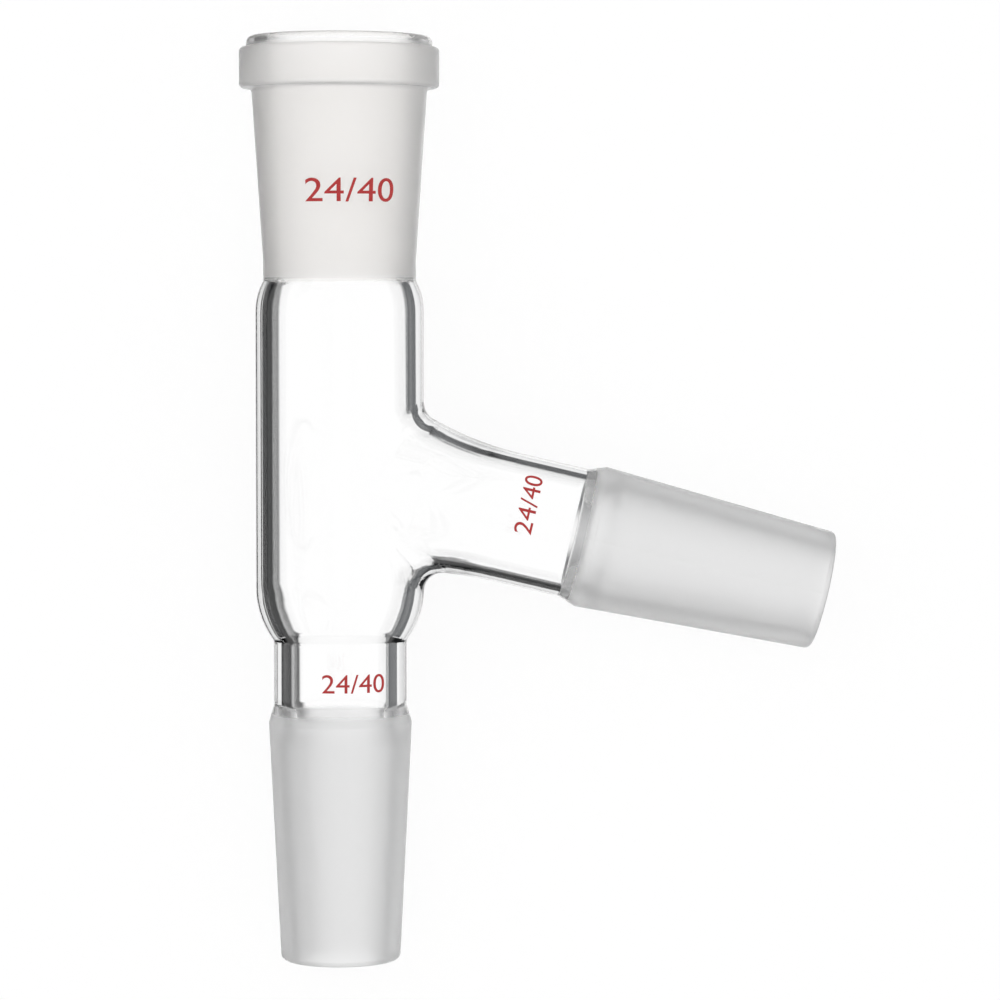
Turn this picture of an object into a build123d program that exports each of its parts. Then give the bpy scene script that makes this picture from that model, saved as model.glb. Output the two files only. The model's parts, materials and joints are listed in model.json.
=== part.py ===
"""Distillation head: one piece of blown borosilicate glass with three standard-taper ground joints.

The socket takes a thermometer adapter, the cone below it fits a flask, and the cone on the side arm leads
to a condenser. The head lies on the bench as it comes to rest: on its collar, on the bottom of its body and
on the tip of its side cone. Lengths are in millimetres.
"""

from build123d import *
from math import acos, asin, atan2, cos, hypot, radians, sin, sqrt, tan
import os

# Standard-taper joints, size 24/40: ground diameter at the large end, ground length, change of diameter
joint_d = 24.0
joint_length = 40.0
joint_taper = 0.1

# Lower cone and the neck above it: the neck is a step narrower, and the seal between them stands in the bore
cone_wall = 3.2
cone_shoulder = 3.0
neck_step = 0.85
neck_wall = 3.0
neck_length = 10.8
seal_bead = 1.0
seal_bead_length = 6.0

# Body: its swell past the joints' radius, its length below and above the side arm's root, and the slopes that
# close it at its two ends, in degrees from the main axis
body_swell = 2.1
body_wall = 2.7
body_below = 14.0
body_above = 19.8
bottom_slope = 35.0
top_slope = 28.0

# Socket: its walls at the root and under the collar, then the collar and the rolled lip around its mouth
socket_root_wall = 2.75
socket_head_wall = 3.05
socket_root_length = 3.3
collar_wall = 4.7
collar_length = 6.8
lip_wall = 3.5
lip_length = 1.8

# Side arm: how far it falls below square, and its length from the body to its cone. Its tube is a step
# narrower than the joints. Its root is a little narrower than the body, and closes on the tube by its slope
arm_fall = 13.2
arm_length = 29.1
arm_step = 1.05
arm_wall = 1.7
root_inset = 0.9
root_wall = 2.5
root_slope = 16.0

# Rounded edges
junction_fillet = 3.0
collar_round = 0.8
lip_round = 0.9
tip_round = 1.0
mouth_round = 0.6
corner_round = 0.8

# Radii
joint_r = joint_d / 2
tip_r = joint_r - joint_taper * joint_length / 2
seal_r = joint_r - cone_wall - seal_bead
neck_r = joint_r - neck_step
neck_bore = neck_r - neck_wall
body_r = joint_r + body_swell
body_bore = body_r - body_wall
arm_r = joint_r - arm_step
arm_bore = arm_r - arm_wall
root_r = body_r - root_inset
root_bore = root_r - root_wall
collar_r = joint_r + collar_wall
lip_r = joint_r + lip_wall

# Heights along the main axis, from the tip of the lower cone
neck_base = joint_length + cone_shoulder
body_base = neck_base + neck_length
arm_height = body_base + body_below + root_r
socket_base = arm_height + root_r + body_above
socket_top = socket_base + joint_length + mouth_round
collar_top = socket_top - lip_length
collar_base = collar_top - collar_length

# Stations along the side arm, from the main axis
root_length = root_r
arm_reach = body_r + arm_length
arm_shoulder = arm_reach - cone_shoulder
arm_tip = arm_reach + joint_length

# The socket's ground bore widens by its taper from its root to its mouth
socket_root_r = tip_r + socket_root_wall
socket_head_r = tip_r + joint_taper * (collar_base - socket_base) / 2 + socket_head_wall
mouth_r = joint_r + joint_taper * mouth_round / 2


def blend(step, slope):
    """Length of a conical slope that changes the radius by step, and the rounds at its wide and narrow end."""
    turn = radians(slope)
    whole = step / sin(turn) / tan(turn / 2)
    return step / tan(turn), 0.9 * whole, 0.09 * whole


bottom_rise, bottom_round, bottom_corner = blend(body_r - neck_r, bottom_slope)
top_rise, top_round, top_corner = blend(body_r - socket_root_r, top_slope)
flare_rise, flare_round, flare_corner = blend(root_r - arm_r, root_slope)
well_rise, well_round, well_corner = blend(body_bore - neck_bore, bottom_slope)
throat_rise, throat_round, throat_corner = blend(body_bore - tip_r, top_slope)
branch_rise, branch_round, branch_corner = blend(root_bore - arm_bore, root_slope)

# The bore's bottom slope stands a body wall off the outer one
well_base = body_base + body_wall / sin(radians(bottom_slope)) - neck_wall / tan(radians(bottom_slope))


def settled_view():
    """The plane of the head's side view as it lies: x to the side arm, y up the main axis, origin at the tip.

    The floor is the common tangent of the collar's lower edge and the body's rounded bottom, or the side of a
    body that is wider than the collar. The head then rolls until the rounded tip of the side cone touches.
    Each rim is a centre, an axis, the radius of its centre circle and the radius of its edge. The box around
    the head is centred on the origin of the bench.
    """
    collar_rim = (collar_r - collar_round, collar_base + collar_round, collar_round)
    bottom_start = body_base + bottom_rise + bottom_round * tan(radians(bottom_slope) / 2)
    bottom_rim = (body_r - bottom_round, bottom_start, bottom_round)
    step, gap = collar_rim[0] - bottom_rim[0], collar_rim[1] - bottom_rim[1]
    pitch = max(0.0, acos((bottom_rim[2] - collar_rim[2]) / hypot(step, gap)) - atan2(gap, step))
    axis_height = bottom_rim[0] * cos(pitch) - bottom_rim[1] * sin(pitch) + bottom_rim[2]

    fall = radians(arm_fall)
    out = arm_tip - tip_round
    tip_rim_r = tip_r + tip_round * (joint_taper / 2 - hypot(1, joint_taper / 2))
    roll = 0.0
    for _ in range(8):
        lean = cos(fall) * sin(roll) * cos(pitch) + sin(fall) * sin(pitch)
        centre_height = tip_rim_r * sqrt(1 - lean**2) + tip_round
        drop = axis_height + (arm_height - out * sin(fall)) * sin(pitch) - centre_height
        roll = asin(drop / (out * cos(fall) * cos(pitch)))

    side = Vector(cos(roll), sin(roll) * sin(pitch), -sin(roll) * cos(pitch))
    main = Vector(0, cos(pitch), sin(pitch))
    arm = side * cos(fall) - main * sin(fall)
    rims = [
        (main * collar_rim[1], main, collar_rim[0], collar_round),
        (main * (socket_top - lip_round), main, lip_r - lip_round, lip_round),
        (main * tip_round, main, tip_rim_r, tip_round),
        (main * arm_height + arm * out, arm, tip_rim_r, tip_round),
    ]

    def reach(direction):
        return max(
            centre.dot(direction) + radius * sqrt(1 - axis.dot(direction) ** 2) + edge
            for centre, axis, radius, edge in rims
        )

    middle = [(reach(way) - reach(-way)) / 2 for way in (Vector(1, 0, 0), Vector(0, 1, 0))]
    return Plane((-middle[0], -middle[1], axis_height), x_dir=side, z_dir=side.cross(main))


side_view = settled_view()
main_axis = Axis(side_view.origin, side_view.y_dir)
arm_axis = Axis(
    side_view.from_local_coords(Vector(0, arm_height, 0)),
    side_view.x_dir * cos(radians(arm_fall)) - side_view.y_dir * sin(radians(arm_fall)),
)
arm_view = Plane(arm_axis.position, x_dir=side_view.z_dir, z_dir=side_view.z_dir.cross(arm_axis.direction))

# The main tube is drawn on its back, away from the side arm, and the arm on its face, square to that, so that
# no seam of either runs along the junction
tube_outline = [
    (0, 0),
    (-tip_r, 0),
    (-joint_r, joint_length),
    (-neck_r, neck_base),
    (-neck_r, body_base),
    (-body_r, body_base + bottom_rise),
    (-body_r, socket_base - top_rise),
    (-socket_root_r, socket_base),
    (-socket_root_r, socket_base + socket_root_length),
    (-socket_head_r, collar_base),
    (-collar_r, collar_base),
    (-collar_r, collar_top),
    (-lip_r, collar_top),
    (-lip_r, socket_top),
    (0, socket_top),
]
tube_rounds = [
    tip_round,
    corner_round,
    corner_round,
    bottom_corner,
    bottom_round,
    top_round,
    top_corner,
    corner_round,
    corner_round,
    collar_round,
    collar_round,
    0,
    lip_round,
]

bore_outline = [
    (0, -1),
    (-(tip_r - cone_wall), -1),
    (-(tip_r - cone_wall), 0),
    (-(joint_r - cone_wall), joint_length - seal_bead_length / 2),
    (-seal_r, joint_length),
    (-neck_bore, joint_length + seal_bead_length / 2),
    (-neck_bore, well_base),
    (-body_bore, well_base + well_rise),
    (-body_bore, socket_base - throat_rise),
    (-tip_r, socket_base),
    (-mouth_r, socket_top),
    (-mouth_r, socket_top + 1),
    (0, socket_top + 1),
]
bore_rounds = [
    0,
    0,
    corner_round,
    corner_round,
    corner_round,
    well_corner,
    well_round,
    throat_round,
    throat_corner,
    0,
    0,
]

arm_outline = [
    (0, 0),
    (root_r, 0),
    (root_r, root_length),
    (arm_r, root_length + flare_rise),
    (arm_r, arm_shoulder),
    (joint_r, arm_reach),
    (tip_r, arm_tip),
    (0, arm_tip),
]
arm_rounds = [0, flare_corner, flare_round, corner_round, corner_round, tip_round]

arm_bore_outline = [
    (0, 0),
    (root_bore, 0),
    (root_bore, root_length),
    (arm_bore, root_length + branch_rise),
    (arm_bore, arm_reach - seal_bead_length / 2),
    (seal_r, arm_reach),
    (joint_r - cone_wall, arm_reach + seal_bead_length / 2),
    (tip_r - cone_wall, arm_tip),
    (tip_r - cone_wall, arm_tip + 1),
    (0, arm_tip + 1),
]
arm_bore_rounds = [0, branch_corner, branch_round, corner_round, corner_round, corner_round, 0, 0]

with BuildPart() as bores:
    with BuildSketch(side_view):
        with BuildLine():
            FilletPolyline(*bore_outline, radius=bore_rounds)
            Line(bore_outline[-1], bore_outline[0])
        make_face()
    revolve(axis=main_axis)
    with BuildSketch(arm_view):
        with BuildLine():
            FilletPolyline(*arm_bore_outline, radius=arm_bore_rounds)
            Line(arm_bore_outline[-1], arm_bore_outline[0])
        make_face()
    revolve(axis=arm_axis)
    fillet(bores.edges(Select.NEW), radius=junction_fillet + body_wall)

with BuildPart() as distilling_head:
    with BuildSketch(side_view):
        with BuildLine():
            FilletPolyline(*tube_outline, radius=tube_rounds)
            Line(tube_outline[-1], tube_outline[0])
        make_face()
    revolve(axis=main_axis)
    with BuildSketch(arm_view):
        with BuildLine():
            FilletPolyline(*arm_outline, radius=arm_rounds)
            Line(arm_outline[-1], arm_outline[0])
        make_face()
    revolve(axis=arm_axis)
    fillet(distilling_head.edges(Select.NEW), radius=junction_fillet)
    add(bores.part, mode=Mode.SUBTRACT)
    rings = distilling_head.edges().filter_by(GeomType.CIRCLE)
    cone_mouth = rings.group_by(main_axis)[0].sort_by(SortBy.RADIUS)[0]
    socket_mouth = rings.group_by(main_axis)[-1].sort_by(SortBy.RADIUS)[0]
    arm_mouth = rings.group_by(arm_axis)[-1].sort_by(SortBy.RADIUS)[0]
    fillet([cone_mouth, socket_mouth, arm_mouth], radius=mouth_round)

distilling_head.part.label = "distilling_head"
os.makedirs("parts", exist_ok=True)
export_step(distilling_head.part, "parts/distilling_head.step")
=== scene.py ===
import json
import math

import bmesh
import bpy
from mathutils import Matrix, Vector
from mathutils.bvhtree import BVHTree


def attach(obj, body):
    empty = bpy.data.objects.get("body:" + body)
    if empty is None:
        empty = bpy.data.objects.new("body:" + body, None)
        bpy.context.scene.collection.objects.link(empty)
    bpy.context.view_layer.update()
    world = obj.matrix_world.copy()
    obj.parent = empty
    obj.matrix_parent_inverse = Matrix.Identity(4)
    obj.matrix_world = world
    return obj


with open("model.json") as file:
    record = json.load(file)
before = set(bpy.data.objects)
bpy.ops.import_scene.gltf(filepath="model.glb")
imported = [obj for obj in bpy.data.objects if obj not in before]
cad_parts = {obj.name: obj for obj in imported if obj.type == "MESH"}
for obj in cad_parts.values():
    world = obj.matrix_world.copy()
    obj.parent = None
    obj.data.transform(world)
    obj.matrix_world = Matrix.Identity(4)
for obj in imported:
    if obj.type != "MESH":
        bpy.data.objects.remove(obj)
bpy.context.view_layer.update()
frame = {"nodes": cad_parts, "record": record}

MM = 0.001

# Standard-taper joints, size 24/40: radius at the large end, ground length, change of radius along it
JOINT_RADIUS = 12 * MM
JOINT_LENGTH = 40 * MM
JOINT_TAPER = 0.05

# Fired print stands a few hundredths of a millimetre proud of the glass, and is wrapped on it in strips.
PRINT_GAP = 0.02 * MM
PRINT_THICKNESS = 0.05 * MM
PRINT_STRIP = 0.4 * MM

# The three ground joints place everything: the main axis runs up through the socket, the arm's axis out
# through the side cone, and the face axis stands square to both.
mounts = {mount["name"]: mount for mount in frame["record"]["mounts"]}
main_axis = Vector(mounts["socket_24_40"]["axis"]).normalized()
arm_axis = Vector(mounts["side_cone_24_40"]["axis"]).normalized()
face_axis = arm_axis.cross(main_axis).normalized()
side_axis = main_axis.cross(face_axis)
socket_mouth = Vector(mounts["socket_24_40"]["pos_m"])
lower_cone_top = Vector(mounts["lower_cone_24_40"]["pos_m"])
side_cone_top = Vector(mounts["side_cone_24_40"]["pos_m"])

socket_root = socket_mouth - JOINT_LENGTH * main_axis
tip = lower_cone_top - JOINT_LENGTH * main_axis


def from_tip(up, across, out):
    """A place from the lower cone's tip, in millimetres: up the head, across to its arm, out of its face."""
    return tip + up * MM * main_axis + across * MM * side_axis + out * MM * face_axis


def joint_frame(origin, up):
    """A joint's frame as a matrix into the scene: x across it, y up its axis and z to the face."""
    turn = Matrix((up.cross(face_axis), up, face_axis)).transposed()
    return Matrix.Translation(origin) @ turn.to_4x4()


def linear(hex_colour):
    """An sRGB hex colour as the linear colour that a shader's socket takes."""
    parts = [int(hex_colour[i:i + 2], 16) / 255 for i in (1, 3, 5)]
    return [p / 12.92 if p <= 0.04045 else ((p + 0.055) / 1.055) ** 2.4 for p in parts] + [1.0]


def add_node(tree, kind, settings=None, inputs=None):
    """Adds a node with its settings, and its inputs by name or number: a value, or a socket to link from."""
    node = tree.nodes.new(kind)
    for name, value in (settings or {}).items():
        setattr(node, name, value)
    for name, value in (inputs or {}).items():
        if isinstance(value, bpy.types.NodeSocket):
            tree.links.new(value, node.inputs[name])
        else:
            node.inputs[name].default_value = value
    return node


def new_material(name):
    """A material and its empty node tree."""
    material = bpy.data.materials.new(name)
    material.use_nodes = True
    material.node_tree.nodes.clear()
    return material, material.node_tree


def maths(tree, operation, *values):
    """A Math node's result."""
    return add_node(tree, "ShaderNodeMath", {"operation": operation}, dict(enumerate(values))).outputs[0]


def ramp(tree, value, low, high):
    """0 below low and 1 above high, with a smooth step between."""
    inputs = {"Value": value, "From Min": low, "From Max": high}
    return add_node(tree, "ShaderNodeMapRange", {"interpolation_type": "SMOOTHSTEP"}, inputs).outputs[0]


def between(tree, value, low, high, edge):
    """1 where value lies between low and high, falling to 0 over edge."""
    rise = ramp(tree, value, low - edge / 2, low + edge / 2)
    fall = ramp(tree, value, high - edge / 2, high + edge / 2)
    return maths(tree, "SUBTRACT", rise, fall)


def blend_colours(tree, share, first, second):
    """A mix of two colours, each a hex value or a socket."""
    node = add_node(tree, "ShaderNodeMix", {"data_type": "RGBA"}, {0: share})
    for place, colour in ((6, first), (7, second)):  # a Mix node's two colour sockets
        if isinstance(colour, str):
            node.inputs[place].default_value = linear(colour)
        else:
            tree.links.new(colour, node.inputs[place])
    return node.outputs[2]


def length_of(tree, first, second):
    """The length of a step in a plane, from its two parts."""
    squares = [maths(tree, "MULTIPLY", part, part) for part in (first, second)]
    return maths(tree, "SQRT", maths(tree, "ADD", *squares))


def joint_coordinates(tree, origin, up):
    """Radius and height about a joint's axis, in metres."""
    place = joint_frame(origin, up).inverted()
    coords = add_node(tree, "ShaderNodeTexCoord").outputs["Object"]
    point = add_node(
        tree,
        "ShaderNodeMapping",
        {"vector_type": "POINT"},
        {"Vector": coords, "Location": place.translation, "Rotation": place.to_euler()},
    ).outputs[0]
    x, height, z = add_node(tree, "ShaderNodeSeparateXYZ", inputs={0: point}).outputs
    return length_of(tree, x, z), height


def borosilicate_glass():
    """Borosilicate tube, clear and fire-polished, with the joints ground on a taper.

    The clear glass bends what lies behind its walls into dark and light bands. The ground zones scatter it to
    a soft white: the inside of the socket, where the frost fades out at the lip, and the outside of the two
    cones, where it runs a little way onto their shoulders. The outside of the socket is softened, so that it
    looks as matt as the ground bore behind it.
    """
    material, tree = new_material("borosilicate_glass")

    # The frost lies on the ground face alone, so each zone ends inside the wall, at its own depth.
    socket_frost_depth = 0.4 * MM
    socket_frost_top = 39.4 * MM
    socket_frost_fade = 2.4 * MM
    cone_frost_depth = 0.7 * MM
    cone_frost_start = -1.6 * MM
    cone_frost_end = 41 * MM
    cone_frost_fade = 1.6 * MM
    socket_roughness = 0.6
    socket_outside_roughness = 0.35
    cone_roughness = 0.5
    socket_scatter = 0.3
    cone_scatter = 0.24

    radius, height = joint_coordinates(tree, socket_root, main_axis)
    root_radius = JOINT_RADIUS - JOINT_TAPER * JOINT_LENGTH
    bore = maths(tree, "MULTIPLY_ADD", height, JOINT_TAPER, root_radius + socket_frost_depth)
    in_bore = maths(tree, "LESS_THAN", radius, bore)
    along_socket = between(tree, height, 0.0, socket_frost_top, socket_frost_fade)
    socket = maths(tree, "MULTIPLY", in_bore, along_socket)
    socket_outside = maths(tree, "SUBTRACT", along_socket, socket)

    def ground_cone(origin, axis):
        radius, height = joint_coordinates(tree, origin, axis)
        shell = maths(tree, "MULTIPLY_ADD", height, -JOINT_TAPER, JOINT_RADIUS - cone_frost_depth)
        outside = maths(tree, "GREATER_THAN", radius, shell)
        along_cone = between(tree, height, cone_frost_start, cone_frost_end, cone_frost_fade)
        return maths(tree, "MULTIPLY", outside, along_cone)

    both_cones = [ground_cone(lower_cone_top, -main_axis), ground_cone(side_cone_top, arm_axis)]
    cones = maths(tree, "MINIMUM", maths(tree, "ADD", *both_cones), 1.0)

    def by_zone(in_socket, on_cones):
        """A value for each ground zone, and 0 on the clear glass."""
        return maths(tree, "MULTIPLY_ADD", cones, on_cones, maths(tree, "MULTIPLY", socket, in_socket))

    colour = blend_colours(tree, socket, "#ffffff", "#fffdfb")
    colour = blend_colours(tree, cones, colour, "#f1f1f1")
    ground = by_zone(socket_roughness, cone_roughness)
    roughness = maths(tree, "MULTIPLY_ADD", socket_outside, socket_outside_roughness, ground)
    scattered = by_zone(socket_scatter, cone_scatter)
    glass = add_node(
        tree,
        "ShaderNodeBsdfPrincipled",
        {"distribution": "MULTI_GGX"},
        {
            "Base Color": colour,
            "Roughness": roughness,
            "IOR": 1.47,
            "Transmission Weight": maths(tree, "SUBTRACT", 1.0, scattered),
        },
    )
    # Shadow rays pass straight through, so that the ground zones are lit through the glass around them.
    through = add_node(tree, "ShaderNodeBsdfTransparent", inputs={"Color": linear("#ffffff")})
    path = add_node(tree, "ShaderNodeLightPath")
    surface = add_node(
        tree,
        "ShaderNodeMixShader",
        inputs={0: path.outputs["Is Shadow Ray"], 1: glass.outputs[0], 2: through.outputs[0]},
    )
    add_node(tree, "ShaderNodeOutputMaterial", inputs={"Surface": surface.outputs[0]})
    return material


def white_bench():
    """A smooth white bench top, which keeps a faint shadow under the glass.

    Rays that glass reflects or bends pass through it to the studio beyond.
    """
    material, tree = new_material("white_bench")
    evenness = 0.8  # the share of plain white that the eye sees in place of the lit bench and its shadow
    path = add_node(tree, "ShaderNodeLightPath")
    lit = add_node(tree, "ShaderNodeBsdfDiffuse", inputs={"Color": linear("#ffffff")})
    white = add_node(tree, "ShaderNodeEmission", inputs={"Color": linear("#ffffff"), "Strength": 1.0})
    open_side = add_node(tree, "ShaderNodeBsdfTransparent")
    seen = add_node(
        tree, "ShaderNodeMixShader", inputs={0: evenness, 1: lit.outputs[0], 2: white.outputs[0]}
    )
    to_camera = add_node(
        tree,
        "ShaderNodeMixShader",
        inputs={0: path.outputs["Is Camera Ray"], 1: lit.outputs[0], 2: seen.outputs[0]},
    )
    through = maths(tree, "MAXIMUM", path.outputs["Is Glossy Ray"], path.outputs["Is Transmission Ray"])
    surface = add_node(
        tree, "ShaderNodeMixShader", inputs={0: through, 1: to_camera.outputs[0], 2: open_side.outputs[0]}
    )
    add_node(tree, "ShaderNodeOutputMaterial", inputs={"Surface": surface.outputs[0]})
    return material


def red_fired_enamel():
    """Ceramic ink, printed on and fired into the glass: an even, slightly glossy red with a fine grain."""
    material, tree = new_material("red_fired_enamel")
    grain_size = 0.4 * MM
    grain_contrast = (0.35, 0.7)
    roughness_lowest = 0.4
    roughness_spread = 0.2
    place = add_node(tree, "ShaderNodeTexCoord").outputs["Object"]
    grain = add_node(
        tree, "ShaderNodeTexNoise", inputs={"Vector": place, "Scale": 1 / grain_size, "Detail": 2.0}
    ).outputs[0]
    ink = add_node(
        tree,
        "ShaderNodeBsdfPrincipled",
        inputs={
            "Base Color": blend_colours(tree, ramp(tree, grain, *grain_contrast), "#a61c1b", "#b32826"),
            "Roughness": maths(tree, "MULTIPLY_ADD", grain, roughness_spread, roughness_lowest),
        },
    )
    add_node(tree, "ShaderNodeOutputMaterial", inputs={"Surface": ink.outputs[0]})
    return material


def studio_world():
    """A white studio with a darker ring of room around the white backdrop below the glass.

    Glass edges turn light aside, so they take their dark lines from that ring. The backdrop is an upright
    oval, a little towards the side arm. Its middle and its half sizes are tangents of the angle off straight
    down.
    """
    backdrop_middle = 0.09
    backdrop_half_width = 0.44
    backdrop_half_height = 0.52
    backdrop_edge = (0.95, 1.15)
    ring_outer_edge = (math.cos(math.radians(68)), math.cos(math.radians(58)))
    ring_shade = (-0.1, 0.5)  # where the ring turns from its dark side to its paler one
    least_down = 0.001  # keeps the tangents finite at the horizon

    world = bpy.data.worlds.new("studio")
    bpy.context.scene.world = world
    world.use_nodes = True
    tree = world.node_tree
    tree.nodes.clear()
    direction = add_node(tree, "ShaderNodeTexCoord").outputs["Generated"]

    def along(axis):
        return add_node(
            tree, "ShaderNodeVectorMath", {"operation": "DOT_PRODUCT"}, {0: direction, 1: axis}
        ).outputs["Value"]

    down = along(-face_axis)
    off_axis = maths(tree, "MAXIMUM", down, least_down)
    across = maths(tree, "DIVIDE", along(side_axis), off_axis)
    up = maths(tree, "DIVIDE", along(main_axis), off_axis)
    shifted = maths(tree, "DIVIDE", maths(tree, "SUBTRACT", across, backdrop_middle), backdrop_half_width)
    oval = length_of(tree, shifted, maths(tree, "DIVIDE", up, backdrop_half_height))
    dark = maths(tree, "MULTIPLY", ramp(tree, oval, *backdrop_edge), ramp(tree, down, *ring_outer_edge))
    room = blend_colours(tree, ramp(tree, across, *ring_shade), "#161718", "#5c5e60")
    colour = blend_colours(tree, dark, "#ffffff", room)
    background = add_node(tree, "ShaderNodeBackground", inputs={"Color": colour, "Strength": 1.0})
    add_node(tree, "ShaderNodeOutputWorld", inputs={"Surface": background.outputs[0]})


def size_mark(name, origin, up, digit_height, length, across, height, turn=0.0):
    """The printed size 24/40: lettering cut into strips, wrapped on the glass and given its thickness.

    Its middle stands across and height along its joint's axis, and turn is the angle of its line of print.
    """
    weld_distance = 1e-5
    cut_tolerance = 1e-7
    clear_of_glass = 40 * MM

    curve = bpy.data.curves.new(name, "FONT")
    curve.body = "24/40"
    curve.resolution_u = 6
    flat = bpy.data.objects.new(name + "_flat", curve)
    mesh = bpy.data.meshes.new_from_object(flat)
    bpy.data.objects.remove(flat)
    bpy.data.curves.remove(curve)
    mesh.name = name
    work = bmesh.new()
    work.from_mesh(mesh)
    bmesh.ops.remove_doubles(work, verts=work.verts, dist=weld_distance)
    low = Vector([min(v.co[i] for v in work.verts) for i in range(3)])
    high = Vector([max(v.co[i] for v in work.verts) for i in range(3)])
    bmesh.ops.translate(work, verts=work.verts, vec=-(low + high) / 2)
    bmesh.ops.scale(
        work, verts=work.verts, vec=(length / (high.x - low.x), digit_height / (high.y - low.y), 1.0)
    )
    bmesh.ops.rotate(work, verts=work.verts, cent=(0, 0, 0), matrix=Matrix.Rotation(turn, 3, "Z"))
    bmesh.ops.translate(work, verts=work.verts, vec=(across, height, 0))
    strips = math.ceil(max(abs(v.co.x) for v in work.verts) / PRINT_STRIP)
    for cut in range(-strips, strips + 1):
        bmesh.ops.bisect_plane(
            work,
            geom=work.verts[:] + work.edges[:] + work.faces[:],
            plane_co=(cut * PRINT_STRIP, 0, 0),
            plane_no=(1, 0, 0),
            dist=cut_tolerance,
        )

    place = joint_frame(origin, up)
    turned = place.to_3x3()

    def surface(angle, along):
        """Where the glass is met from outside, and the way out."""
        out = turned @ Vector((math.sin(angle), 0, math.cos(angle)))
        start = place @ Vector((0, along, 0)) + clear_of_glass * out
        return head_surface.ray_cast(start, -out)[0], out

    middle = surface(0.0, height)[0]
    radius = (middle - place @ Vector((0, height, 0))).length
    lower = work.verts[:]
    ways = []
    for v in lower:
        point, out = surface(v.co.x / radius, v.co.y)
        v.co = point + PRINT_GAP * out
        ways.append(out)
    risen = bmesh.ops.extrude_face_region(work, geom=work.faces[:], use_keep_orig=True)
    for v in (part for part in risen["geom"] if isinstance(part, bmesh.types.BMVert)):
        nearest = min(range(len(lower)), key=lambda n: (lower[n].co - v.co).length_squared)
        v.co += PRINT_THICKNESS * ways[nearest]
    bmesh.ops.recalc_face_normals(work, faces=work.faces)
    work.to_mesh(mesh)
    work.free()
    mark = bpy.data.objects.new(name, mesh)
    bpy.context.scene.collection.objects.link(mark)
    mesh.materials.append(enamel)
    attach(mark, "root")


studio_world()

head = frame["nodes"]["distilling_head"]
head.data.materials.clear()
head.data.materials.append(borosilicate_glass())

enamel = red_fired_enamel()
head_surface = BVHTree.FromPolygons(
    [v.co for v in head.data.vertices], [p.vertices for p in head.data.polygons]
)
size_mark(
    "size_mark_socket", tip, main_axis,
    digit_height=3.9 * MM, length=15.4 * MM, across=2.2 * MM, height=128.8 * MM,
)
size_mark(
    "size_mark_neck", tip, main_axis,
    digit_height=3.1 * MM, length=10.9 * MM, across=2.6 * MM, height=47.4 * MM,
)
size_mark(
    "size_mark_arm", side_cone_top, arm_axis,
    digit_height=3.0 * MM, length=10.5 * MM, across=-3.7 * MM, height=-11.8 * MM, turn=math.pi,
)

bench_half_width = 3.0
bench_mesh = bpy.data.meshes.new("bench")
work = bmesh.new()
bmesh.ops.create_grid(work, x_segments=1, y_segments=1, size=bench_half_width)
work.to_mesh(bench_mesh)
work.free()
bench = bpy.data.objects.new("bench", bench_mesh)
bpy.context.scene.collection.objects.link(bench)
bench_mesh.materials.append(white_bench())

# The camera looks down the face of the head from 0.65 m, level with the top of its body, and turns a little
# towards the lower cone and the side arm.
camera_data = bpy.data.cameras.new("camera")
camera_data.lens = 140
camera_data.sensor_width = 36
camera = bpy.data.objects.new("camera", camera_data)
bpy.context.scene.collection.objects.link(camera)
eye = from_tip(up=110, across=14, out=651)
target = from_tip(up=77.3, across=26.8, out=0)
view = (target - eye).normalized()
right = view.cross(main_axis).normalized()
facing = Matrix((right, right.cross(view), -view)).transposed()
camera.matrix_world = Matrix.Translation(eye) @ facing.to_4x4()
bpy.context.scene.camera = camera

bpy.context.scene.view_settings.view_transform = "Standard"
